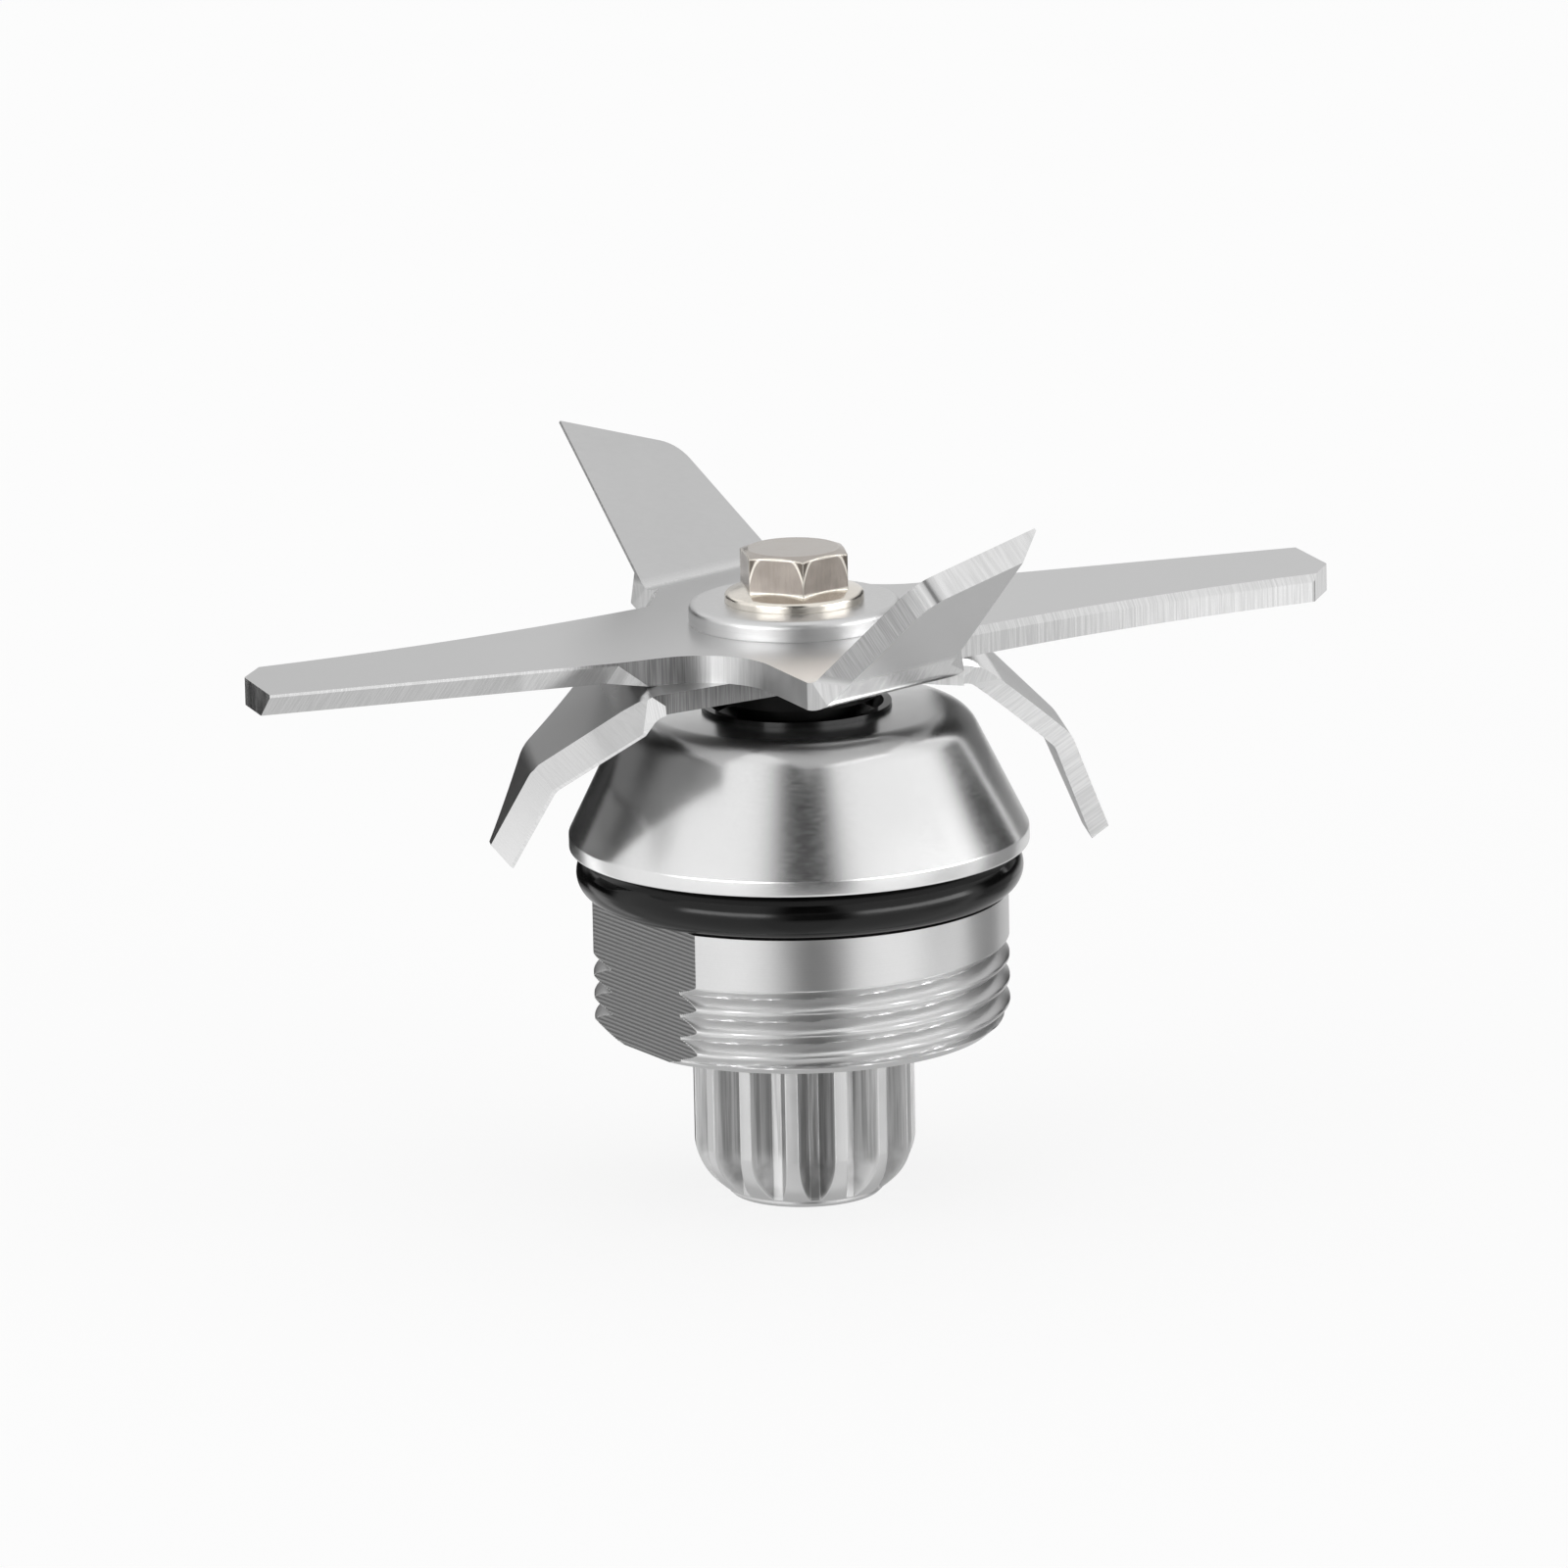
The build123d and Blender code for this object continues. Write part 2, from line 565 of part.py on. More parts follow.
def lower_blade():
    top_z = LOWER_BLADE_Z + LOWER_T
    first, second = (radians(-angle) for angle in DROP_SLOPES)
    first_run, second_run = DROP_LENGTHS
    outer_r = FOLD_R + LOWER_T
    tangent = outer_r * tan(-first / 2)

    def along_arm(run):
        """Top surface at a distance down the arm from its fold, as (outward, height)."""
        steep = max(run - first_run, 0)
        run -= steep
        return (
            DROP_FOLD + run * cos(first) + steep * cos(second),
            top_z + run * sin(first) + steep * sin(second),
        )

    length = first_run + second_run
    fold, knee, tip, past = (along_arm(run) for run in (0, first_run, length, length + second_run / 2))

    # Hub and flared roots, flat
    hub_y = -(LOWER_HUB_R**2 - (DROP_FOLD / 2) ** 2) ** 0.5
    root = outline([
        (0, DROP_HUB_LEAD),
        (DROP_FOLD - tangent, DROP_LEAD),
        (DROP_FOLD - tangent, -DROP_TRAIL),
        (DROP_FOLD / 2, hub_y),
        (0, 0),
    ])
    flat = Circle(LOWER_HUB_R) + both_ways(Rot(0, 0, DROP_AZIMUTH) * root)
    flat -= key_profile(BEARING_BORE_R + FIT, KEY_HALF + FIT)
    plate = Pos(0, 0, LOWER_BLADE_Z) * extrude(flat, LOWER_T)

    # Arm folded twice, trimmed to its outline square to the line from fold to tip
    path = [(DROP_FOLD - tangent - MARGIN / 10, top_z), fold, knee, past]
    strip = folded_strip(DROP_AZIMUTH, path, outer_r, LOWER_T, (-DROP_LEAD - DROP_BEVEL_W, DROP_TRAIL))
    chord = Vector(tip[0] - fold[0], tip[1] - fold[1])
    plane = slope_plane(DROP_AZIMUTH, fold, degrees(atan2(chord.Y, chord.X)))

    def leading_edge(y):
        """Edge of the underside: the ground strip reaches it from the top surface's edge."""
        top_edge = -DROP_LEAD + (DROP_TIP + DROP_LEAD) * y / chord.length
        return top_edge - DROP_BEVEL_W * min(max(y / DROP_RUNOUT, 0), 1)

    below_fold = -3 * LOWER_T
    tip_trail = (DROP_TIP + DROP_TIP_W, chord.length)
    sides = Polyline(
        tip_trail,
        (leading_edge(chord.length), chord.length),
        (leading_edge(DROP_RUNOUT), DROP_RUNOUT),
        (-DROP_LEAD, 0),
        (-DROP_LEAD, below_fold),
        (DROP_TRAIL, below_fold),
        (DROP_TRAIL, 0),
    )
    trim = make_face(sides + ThreePointArc((DROP_TRAIL, 0), DROP_TRAIL_MID, tip_trail))
    arm = strip & extrude(plane * trim, chord.length, both=True)

    # Ground leading edge on the top side, following the second fold
    out = Vector(cos(radians(DROP_AZIMUTH)), sin(radians(DROP_AZIMUTH)), 0)

    def station(run, angle, share):
        normal = UP * cos(angle) - out * sin(angle)
        spot = out * along_arm(run)[0] + UP * along_arm(run)[1] - normal * LOWER_T
        side = leading_edge((spot - plane.origin).dot(plane.y_dir))
        return spot + plane.x_dir * side, plane.x_dir, -normal, share

    arm -= grind(
        [
            station(0, first, 0),
            station(DROP_RUNOUT, first, 1),
            station(first_run, (first + second) / 2, 1),
            station(length + second_run / 2, second, 1),
        ],
        LOWER_T,
        DROP_BEVEL_W,
    )
    return plate + both_ways(arm)


def clamp_washer():
    inner = BOLT_R + WASHER_PLAY
    section = outline([
        (inner, WASHER_Z),
        (WASHER_R, WASHER_Z),
        (WASHER_R, FLANGE_Z),
        (inner, FLANGE_Z),
    ])
    return turn(soften(section, (WASHER_R, FLANGE_Z), WASHER_ROUND))


def blade_bolt():
    head_top = FLANGE_Z + HEAD_H
    corner_r = HEX_ACROSS / 2 / cos(radians(30))
    cone_h = (corner_r - HEX_ACROSS / 2) * tan(radians(30))
    hexagon = Rot(0, 0, HEX_AZIMUTH) * RegularPolygon(HEX_ACROSS / 2, 6, major_radius=False, rotation=30)
    head = Pos(0, 0, FLANGE_Z) * extrude(hexagon, HEAD_H)
    crown = outline([
        (0, FLANGE_Z),
        (corner_r + HEX_CHAMFER, FLANGE_Z),
        (corner_r + HEX_CHAMFER, head_top - cone_h - HEX_CHAMFER),
        (corner_r, head_top - cone_h),
        (HEX_ACROSS / 2 - HEX_CHAMFER / 2, head_top),
        (0, head_top),
    ])
    flange = outline([
        (0, FLANGE_Z),
        (FLANGE_R, FLANGE_Z),
        (FLANGE_R, FLANGE_Z + FLANGE_H),
        (HEX_ACROSS / 2, FLANGE_Z + FLANGE_H + FLANGE_RISE),
        (0, FLANGE_Z + FLANGE_H + FLANGE_RISE),
    ])
    flange = soften(flange, (FLANGE_R, FLANGE_Z + FLANGE_H), FLANGE_H / 2)
    shank = Pos(0, 0, FLANGE_Z - BOLT_REACH) * extrude(Circle(BOLT_R), BOLT_REACH)
    return (head & turn(crown)) + turn(flange) + shank


nodes = {
    "bearing_housing": bearing_housing(),
    "housing_o_ring": housing_o_ring(),
    "shaft_seal": shaft_seal(),
    "seal_garter_spring": seal_garter_spring(),
    "retaining_ring": retaining_ring(),
    "outer_bearing_spacer": outer_bearing_spacer(),
    "inner_bearing_spacer": inner_bearing_spacer(),
    "drive_shaft": drive_shaft(),
    "drive_spline": drive_spline(),
    "blade_spacer": blade_spacer(),
    "lower_blade": lower_blade(),
    "upper_blade": upper_blade(),
    "clamp_washer": clamp_washer(),
    "blade_bolt": blade_bolt(),
    **bearing("upper", UPPER_BEARING_Z),
    **bearing("lower", LOWER_BEARING_Z),
}

os.makedirs("parts", exist_ok=True)
for name, shape in nodes.items():
    export_step(shape, f"parts/{name}.step")
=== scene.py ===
from math import atan2, cos, pi, radians, sin, tan, tau
from types import SimpleNamespace

import bpy
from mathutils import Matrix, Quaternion, Vector


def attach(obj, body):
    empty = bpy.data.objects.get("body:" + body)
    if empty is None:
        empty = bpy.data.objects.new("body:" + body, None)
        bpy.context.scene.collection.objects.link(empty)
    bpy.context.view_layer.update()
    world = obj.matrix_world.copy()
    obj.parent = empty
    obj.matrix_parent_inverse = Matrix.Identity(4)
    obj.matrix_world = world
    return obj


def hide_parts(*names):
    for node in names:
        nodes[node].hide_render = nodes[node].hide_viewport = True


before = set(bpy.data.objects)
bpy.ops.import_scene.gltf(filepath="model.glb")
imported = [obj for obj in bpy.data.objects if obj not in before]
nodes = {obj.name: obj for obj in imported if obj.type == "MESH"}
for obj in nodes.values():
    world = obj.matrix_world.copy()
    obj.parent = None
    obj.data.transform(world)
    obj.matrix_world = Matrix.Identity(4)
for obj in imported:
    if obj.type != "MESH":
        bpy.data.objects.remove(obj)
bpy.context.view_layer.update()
MM = 0.001

# Camera, in the object's frame
VIEW_AZIMUTH = radians(-23.3)
VIEW_ELEVATION = radians(13.485)
VIEW_DISTANCE = 1.1844
VIEW_ROLL = radians(-1.171)
AIM = Vector((0, 0, 0.034545))      # point that the camera's distance is measured from
AIM_RIGHT = 0.001575                # where that point lies in the picture, from the middle
AIM_DOWN = 0.00729
LENS_MM = 270
SENSOR_MM = 36
CLIP_END = 100
FLOOR_SIZE = 30.0                   # middle of the floor to its sides, metres

# Housing, millimetres, as in the solid model
HOUSING_LIFT = 17.0
THREAD_R = 21.0
LEDGE_Z = 31.1
ENTRY_CUT = 1.8
ENTRY_H = 1.5
FLAT_TO_AXIS = 18.65
FLAT_AZIMUTH = 189.0
GROOVE_R = 17.7
LIP_R = 23.2
LIP_Z = 36.0
CONE_Z = 37.6
CONE_TOP_R = 17.1
TOP_Z = 50.1
CONE_TOP_ROUND = 4.0
LIP_ROUND = 0.6
SEAL_R = 9.6
SEAL_Z = 43.6
SEAL_SEAT_R = 8.4
BORE_TOP_Z = 42.6
BORE_R = 13.0
BORE_ENTRY = 0.5
RING_GROOVE_R = 13.6
RING_GROOVE_LOW = 19.07
RING_GROOVE_HIGH = 20.33

# Jar thread, drawn on the housing's crest cylinder
THREAD_PITCH = 2.309
THREAD_DEPTH = 1.3
THREAD_GROOVE_Z = 19.95             # one groove, at the azimuth below
THREAD_GROOVE_AZIMUTH = 207.8
THREAD_TURNS = 2.75                 # turns from that groove up to the end of the thread
THREAD_RUNOUT = 0.4                 # turns over which it runs out
THREAD_TOP = 26.6                   # above this the body is plain
THREAD_FLANK = 0.45                 # middle of a groove to the crest, in turns
THREAD_ROUND = 1.25                 # above 1 the crests are rounded

# Faces of the housing's mesh
THREAD_ROW = 0.1                    # height of one row of faces on the thread
COLUMN = 1.0                        # width of a column of faces, degrees
FINE_COLUMN = 0.2                   # the same where the thread runs into the flat
FINE_FROM = 15.5                    # degrees from the middle of the flat
FINE_TO = 29.0
FLAT_REACH = 45.0                   # degrees from its middle, past which the flat can't cut the body
LIP_STEPS = 6                       # faces round each rounded corner
FOOT_STEPS = 4
TOP_STEPS = 14
SHARP_ANGLE = radians(17)

# In all finishes a pair is the least and most of a tone or roughness, or where a smooth step begins and ends.
# A range of roughness keeps to one side of 0.274, because denoising leaves lines where a surface crosses it.
NOISE_SPREAD = (0.3, 0.7)           # the part of a noise's range that it mostly takes
# edges that take a painted highlight, on the bolt and the spline's teeth
HIGHLIGHT_EDGE = (0.998, 0.94)           # match of a face's normal with its rounded normal

# Blades: which surface a normal belongs to
OFF_LEVEL = (0.97, 0.9)             # upright share, on the edges of the flat sheet
OFF_FOLD = (0.1, 0.25)              # sideways share, on the edges of a folded arm
SQUARE_EDGE = (0.5, 0.3)            # share through the sheet, on edges square to it
LONG_EDGE = (0.7, 0.4)              # share along the arm, on its long edges
ROOT_EDGE = (0.84, 0.94)            # sideways share, on the hub's edge at a folded arm's root
UPRIGHT_EDGE = (0.35, 0.15)         # upright share
FACING_DOWN = (-0.25, -0.5)         # upright part, on undersides
SLOPING_DOWN = (-0.97, -0.9)        # the same, on undersides that aren't level
BACK_EDGE = (-0.3, -0.7)            # sideways part

# Blades: where on the hub a point lies
FOLD_CLEAR = 0.6                    # from the flat sheet to the start of a folded arm's finish
FOLD_BLUR = 0.4
HUB_END = (30.0 * MM, 25.0 * MM)    # along the flat arms
HUB_SIDE = (20.0 * MM * MM, 60.0 * MM * MM)     # x times y, which is positive on two sides of the hub
# blur of the painted dark reflection on the hub's upright walls
DARK_REFLECTION_BLUR = 4.0

# Blades: tones, roughness and relief
SHEET_TONE = (0.57, 0.66)
# painted shade on the lower blade's undersides
UNDERSIDE_SHADE_TONE = 0.2
GROUND_TONE = (0.69, 0.81)
ROOT_TONE = (0.46, 0.56)
SCRATCH_TONE = (0.26, 0.36)
# painted dark reflection on the hub's upright walls
DARK_REFLECTION_TONE = (0.14, 0.24)
SHEET_ROUGH = (0.285, 0.34)
GROUND_ROUGH = (0.14, 0.2)
SATIN_ROUGH = 0.6
SCRATCH_ROUGH = 0.45
MARK_SCALE = (1 / (0.17 * MM), 1 / (6.0 * MM), 1 / (6.0 * MM))      # grinding marks, thin and long
GRAIN_SCALE = (400.0, 2600.0, 2600.0)
BLADE_RELIEF = 0.008
GRAIN_SHARE = 0.15                  # shares of that relief
GROUND_SHARE = 0.05
SCRATCH_SHARE = 0.35

UPPER_BLADE = SimpleNamespace(
    azimuth=radians(111.7),         # of a folded arm
    slope=radians(45.0),
    fold_z=59.0 + FOLD_CLEAR,
    folded_up=True,
    scratched=1.0,                  # shares of scratched edges, painted shade on the underside and a satin back edge
    shaded_under=0.0,
    satin=0.0,
    stain_from=13.0,                # along the flat arms, to where the painted dark reflection on the hub's upright edges begins
)
LOWER_BLADE = SimpleNamespace(
    azimuth=radians(-16.4),
    slope=radians(-56.0),
    fold_z=54.2 - FOLD_CLEAR,
    folded_up=False,
    scratched=0.0,
    shaded_under=0.8,
    satin=1.0,
    stain_from=-4.5,                # painted dark reflection from the middle outward
)

# Housing's finish
CONE_SPREAD = (0.35, 0.65)
CONE_ROUGH = (0.21, 0.27)
BODY_ROUGH = (0.285, 0.33)
MILLED_ROUGH = 0.42
ON_FLAT = (0.995, 0.999)            # share of a normal straight out of the flat
BODY_BLUR = 0.5
LATHE_LINE = 0.12
MILL_PITCH = 0.43
CONE_SCRATCHES = (900.0, 900.0, 4200.0)
HOUSING_RELIEF = 0.006
CONE_SHARE = 0.03                   # shares of that relief
MILL_SHARE = 6.0

# Drive spline, for the light lands between its grooves and on its rounded end
SPLINE_END_ROUND = 6.5
SPLINE_END_R = 4.758                # middle of that round, from the axis and from the end face
SPLINE_END_Z = 6.362
LAND_DEPTH = (0.45, 0.12)           # below the lands
TEETH_Z = (4.0 * MM, 6.5 * MM)      # from the clouded end to the streaked teeth
TOOTH_STREAKS = (1500.0, 1500.0, 40.0)
FINE_TOOTH_STREAKS = (5200.0, 5200.0, 150.0)
TOOTH_SPREAD = (0.34, 0.66)

# Bolt head, for the painted highlight arches on its hexagon and the painted shade in the corners past them
HEX_HALF = 5.0
HEX_AZIMUTH = radians(225.65)
HEX_FOOT = 62.6
HEX_FOOT_BLUR = 0.25
HEX_TOP = 66.45
HEX_SIDE = (0.4, 0.2)               # upright share of a normal
ARCH_DOWN = 0.35                    # from the top to the arch
ARCH_START = 1.5                    # from the middle of a face to where its arch begins to fall
ARCH_FALL = 2.4
ARCH_CURVE = 2.2
ARCH_WIDTH = 0.12
ARCH_WIDENING = 0.45
ARCH_EDGE = (1.0, 0.4)              # in half widths
CORNER_ABOVE = (0.1, 0.5)           # past the arch, in millimetres and as a share of the way to the corner
CORNER_ASIDE = (0.45, 0.7)
BOLT_STREAKS = (2600.0, 2600.0, 300.0)
# painted light on the bolt: shaded side faces and a lit top of the same plate
BOLT_SHADED_SIDE = ((0.36, 0.32, 0.285, 1), (0.43, 0.385, 0.345, 1))
BOLT_LIT_TOP = ((0.46, 0.425, 0.39, 1), (0.52, 0.48, 0.44, 1))
# painted highlight on the flange, edges and arches
BOLT_HIGHLIGHT = ((0.8, 0.755, 0.68, 1), (0.88, 0.83, 0.755, 1))
# painted shade in the corners past the arches
BOLT_CORNER_SHADE = (0.16, 0.14, 0.12, 1)

CAGE_TONES = ((0.62, 0.56, 0.43, 1), (0.74, 0.69, 0.57, 1))

# Studio, brightness of what stands round the object
BACK_LIGHT = 1.0
LOW_BACK = 0.8
SOFTBOX = 1.25
STREAK = 6.5
FRONT_FLAG = 0.02
LOW_FLAG = 0.1
SIDE_FLAG = 0.02
LEFT_GREY = 0.33
LEFT_HIGH = 1.3
LEFT_LOW = 1.75
RIGHT_LOW = 0.85
RIGHT_GREY = 0.36
TOP_LIGHT = 1.2
FLOOR_GLOW = 0.8                    # share of white paper in the floor; the rest takes the shadow

# Panels of the studio, each laid over those before it: its brightness, whether both sides have it, and its
# azimuths and elevations in degrees, as (from, to, blur). Azimuth 0 is the camera's side; right is positive.
PANELS = (
    (LOW_BACK, True, (112, 200, 6), (-120, -24, 6)),
    (SOFTBOX, True, (22, 102, 5), (-120, 58, 7)),
    (RIGHT_LOW, False, (66, 92, 6), (-24, -5, 4)),
    (STREAK, False, (-62, -16, 5), (1, 15, 2)),
    (STREAK, False, (30, 95, 5), (1, 15, 2)),
    (FRONT_FLAG, False, (-13, 21, 7), (14, 60, 8)),
    (LOW_FLAG, False, (-9, 25, 7), (-24, 14, 5)),
    (SIDE_FLAG, False, (-172, -110, 4), (-6, 13, 3)),
    (LEFT_GREY, False, (-176, -146, 5), (3, 14, 5)),
    (SIDE_FLAG, False, (-172, -138, 3), (-18, 1, 4)),
    (LEFT_HIGH, False, (-138, -116, 4), (15, 44, 3)),
    (LEFT_LOW, False, (-135, -120, 3), (-44, -8, 3)),
    (RIGHT_GREY, False, (106, 140, 4), (-25, -3, 5)),
    (SIDE_FLAG, False, (106, 140, 4), (-3, 21, 5)),
    (SIDE_FLAG, False, (136, 164, 4), (-5, 18, 5)),
    (TOP_LIGHT, True, (-30, 200, 5), (60, 120, 5)),
)

# First value socket and result socket of a Mix node, by the kind of its values
MIX_SOCKETS = {"FLOAT": (2, 0), "VECTOR": (4, 1), "RGBA": (6, 2)}


class Nodes:
    """Short calls that add shader nodes to one tree."""

    def __init__(self, tree):
        self.tree = tree

    def feed(self, socket, value):
        if isinstance(value, bpy.types.NodeSocket):
            self.tree.links.new(value, socket)
        else:
            socket.default_value = value

    def add(self, kind, inputs=None, **settings):
        made = self.tree.nodes.new("ShaderNode" + kind)
        for name, value in settings.items():
            setattr(made, name, value)
        for name, value in (inputs or {}).items():
            self.feed(made.inputs[name], value)
        return made

    def math(self, operation, *values):
        made = self.add("Math", operation=operation)
        for socket, value in zip(made.inputs, values):
            self.feed(socket, value)
        return made.outputs[0]

    def product(self, value, *factors):
        for factor in factors:
            value = self.math("MULTIPLY", value, factor)
        return value

    def size(self, value):
        """A value without its sign."""
        return self.math("ABSOLUTE", value)

    def mix(self, kind, share, first, second):
        """first where share is 0, second where it is 1."""
        place, result = MIX_SOCKETS[kind]
        made = self.add("Mix", data_type=kind)
        self.feed(made.inputs[0], share)
        self.feed(made.inputs[place], first)
        self.feed(made.inputs[place + 1], second)
        return made.outputs[result]

    def blend(self, share, first, second):
        return self.mix("FLOAT", share, first, second)

    def colours(self, share, first, second):
        return self.mix("RGBA", share, first, second)

    def tones(self, share, dark, light, warm=0.0):
        return self.colours(share, grey(dark, warm), grey(light, warm))

    def step(self, value, low, high, to_low=0.0, to_high=1.0):
        """Smooth step of a value from low to high."""
        made = self.add("MapRange", {
            "Value": value, "From Min": low, "From Max": high, "To Min": to_low, "To Max": to_high,
        }, interpolation_type="SMOOTHSTEP")
        return made.outputs[0]

    def spread(self, noise, low=0.0, high=1.0):
        """A noise, spread over the whole range from low to high."""
        return self.step(noise, *NOISE_SPREAD, low, high)

    def noise(self, vector, scale, detail=2.0, rough=0.5):
        made = self.add("TexNoise", {
            "Vector": vector, "Scale": scale, "Detail": detail, "Roughness": rough,
        })
        return made.outputs[0]

    def vector(self, x, y, z):
        return self.add("CombineXYZ", {"X": x, "Y": y, "Z": z}).outputs[0]

    def split(self, vector):
        return self.add("SeparateXYZ", {"Vector": vector}).outputs

    def stretch(self, vector, scale):
        made = self.add("Mapping", {"Vector": vector, "Scale": scale})
        return made.outputs[0]

    def turn(self, first, second, angle):
        """Two components, in axes turned by an angle."""
        ahead = self.math("ADD", self.product(first, cos(angle)), self.product(second, sin(angle)))
        aside = self.math("SUBTRACT", self.product(second, cos(angle)), self.product(first, sin(angle)))
        return ahead, aside

    def bump(self, height, distance, normal=None):
        inputs = {"Height": height, "Distance": distance}
        if normal is not None:
            inputs["Normal"] = normal
        return self.add("Bump", inputs).outputs[0]

    def rounded(self, radius):
        """Normals as if every sharp edge had this small round."""
        return self.add("Bevel", {"Radius": radius}, samples=4).outputs[0]

    def edges(self, rounded):
        """1 on sharp edges and 0 away from them, from rounded normals."""
        plain = self.add("NewGeometry").outputs["Normal"]
        match = self.add("VectorMath", {0: plain, 1: rounded}, operation="DOT_PRODUCT").outputs["Value"]
        return self.step(match, *HIGHLIGHT_EDGE)


def material(name):
    """A new material, its nodes and shader, and a point's place and normal in the object's frame."""
    made = bpy.data.materials.new(name)
    made.use_nodes = True
    made.node_tree.nodes.clear()
    build = Nodes(made.node_tree)
    shader = build.add("BsdfPrincipled")
    build.add("OutputMaterial", {"Surface": shader.outputs[0]})
    place = build.add("TexCoord")
    return made, build, shader, place.outputs["Object"], place.outputs["Normal"]


def paint(build, shader, **sockets):
    """Sets or links the shader's own sockets; underscores stand for spaces."""
    for name, value in sockets.items():
        build.feed(shader.inputs[name.replace("_", " ")], value)


def grey(level, warm=0.0):
    return (level * (1 + warm), level, level * (1 - warm), 1.0)


def radius_and_height(build, coords):
    """A vector of radius, height and nothing, on which a texture runs round the axis, then the two alone."""
    x, y, z = build.split(coords)
    radius = build.add("VectorMath", {0: build.vector(x, y, 0.0)}, operation="LENGTH").outputs["Value"]
    return build.vector(radius, z, 0.0), radius, z


def turned_metal(name, level, rough, line, depth, warm=0.0, edge=0.0):
    """Metal with fine lathe lines round the axis, clouded roughness and slightly rounded edges."""
    made, build, shader, coords, _ = material(name)
    turned, _, _ = radius_and_height(build, coords)
    lines = build.noise(turned, 1 / (line * MM), 3.0, 0.6)
    cloud = build.noise(coords, 160.0, 3.0)
    specks = build.noise(coords, 2600.0, 2.0)
    rounded = build.rounded(edge * MM) if edge else None
    paint(
        build, shader, Metallic=1.0,
        Base_Color=build.tones(build.blend(0.5, lines, cloud), level * 0.9, level * 1.08, warm),
        Roughness=build.spread(build.blend(0.4, cloud, specks), rough * 0.8, rough * 1.25),
        Normal=build.bump(lines, depth * MM, rounded),
    )
    return made


def blade_axes(build, coords, normal, blade):
    """A point's place and normal, in the object's axes and in those of the folded arm on its side."""
    at = SimpleNamespace()
    at.x, at.y, at.z = build.split(coords)
    normal_x, normal_y, at.normal_z = build.split(normal)
    signed_out, at.across = build.turn(at.x, at.y, blade.azimuth)
    normal_out, at.normal_across = build.turn(normal_x, normal_y, blade.azimuth)
    at.side = build.math("SIGN", signed_out)
    at.along, at.thick = build.turn(build.size(signed_out), at.z, blade.slope)
    outward = build.product(normal_out, at.side)
    at.normal_along, at.normal_thick = build.turn(outward, at.normal_z, blade.slope)
    return at


def blade_surfaces(build, at, blade):
    """Which surface of a blade a point is on, each as a share from 0 to 1."""
    on = SimpleNamespace()
    blur = FOLD_BLUR if blade.folded_up else -FOLD_BLUR
    on.fold = build.step(at.z, (blade.fold_z - blur) * MM, (blade.fold_z + blur) * MM)
    flat_edges = build.step(build.size(at.normal_z), *OFF_LEVEL)
    fold_edges = build.step(build.size(at.normal_across), *OFF_FOLD)
    on.edges = build.blend(on.fold, flat_edges, fold_edges)
    on.back = build.product(build.step(build.product(at.normal_across, at.side), *BACK_EDGE), blade.satin)
    # painted shade on faces that look down
    under = build.product(build.step(at.normal_z, *FACING_DOWN), build.step(at.normal_z, *SLOPING_DOWN))
    on.under = build.product(under, blade.shaded_under)

    near_hub = build.step(build.size(at.x), *HUB_END)
    root = build.product(near_hub, build.step(build.size(at.normal_across), *ROOT_EDGE))
    square = build.step(build.size(at.normal_thick), *SQUARE_EDGE)
    lengthwise = build.step(build.size(at.normal_along), *LONG_EDGE)
    scratched = build.blend(on.fold, root, build.product(square, lengthwise))
    on.scratched = build.product(scratched, blade.scratched)

    upright = build.step(build.size(at.normal_z), *UPRIGHT_EDGE)
    beside = build.step(build.product(at.x, at.y), *HUB_SIDE)
    on.wall = build.product(upright, build.math("SUBTRACT", 1.0, on.fold), near_hub, beside)
    # painted dark reflection on the hub's upright walls, from a set distance along the flat arms
    stain_to = blade.stain_from + DARK_REFLECTION_BLUR
    stained = build.step(build.size(at.x), blade.stain_from * MM, stain_to * MM)
    on.stain = build.product(on.wall, stained)
    return on


def edge_colour(build, on, marks):
    """A blade's ground edges, darker where they are scratched, with a painted dark reflection on the hub's
    upright walls.
    """
    tone = build.spread(marks)
    scratched = build.colours(on.fold, build.tones(tone, *ROOT_TONE), build.tones(tone, *SCRATCH_TONE))
    edges = build.colours(on.scratched, build.tones(tone, *GROUND_TONE), scratched)
    # painted dark reflection over the hub's upright walls
    return build.colours(on.stain, edges, build.tones(tone, *DARK_REFLECTION_TONE))


def edge_roughness(build, on, marks):
    """A blade's ground edges, rougher at the back, on scratches and beside the hub."""
    rough = build.spread(marks, *GROUND_ROUGH)
    rough = build.blend(on.back, rough, SATIN_ROUGH)
    rough = build.blend(on.scratched, rough, SCRATCH_ROUGH)
    return build.blend(on.wall, rough, SCRATCH_ROUGH)


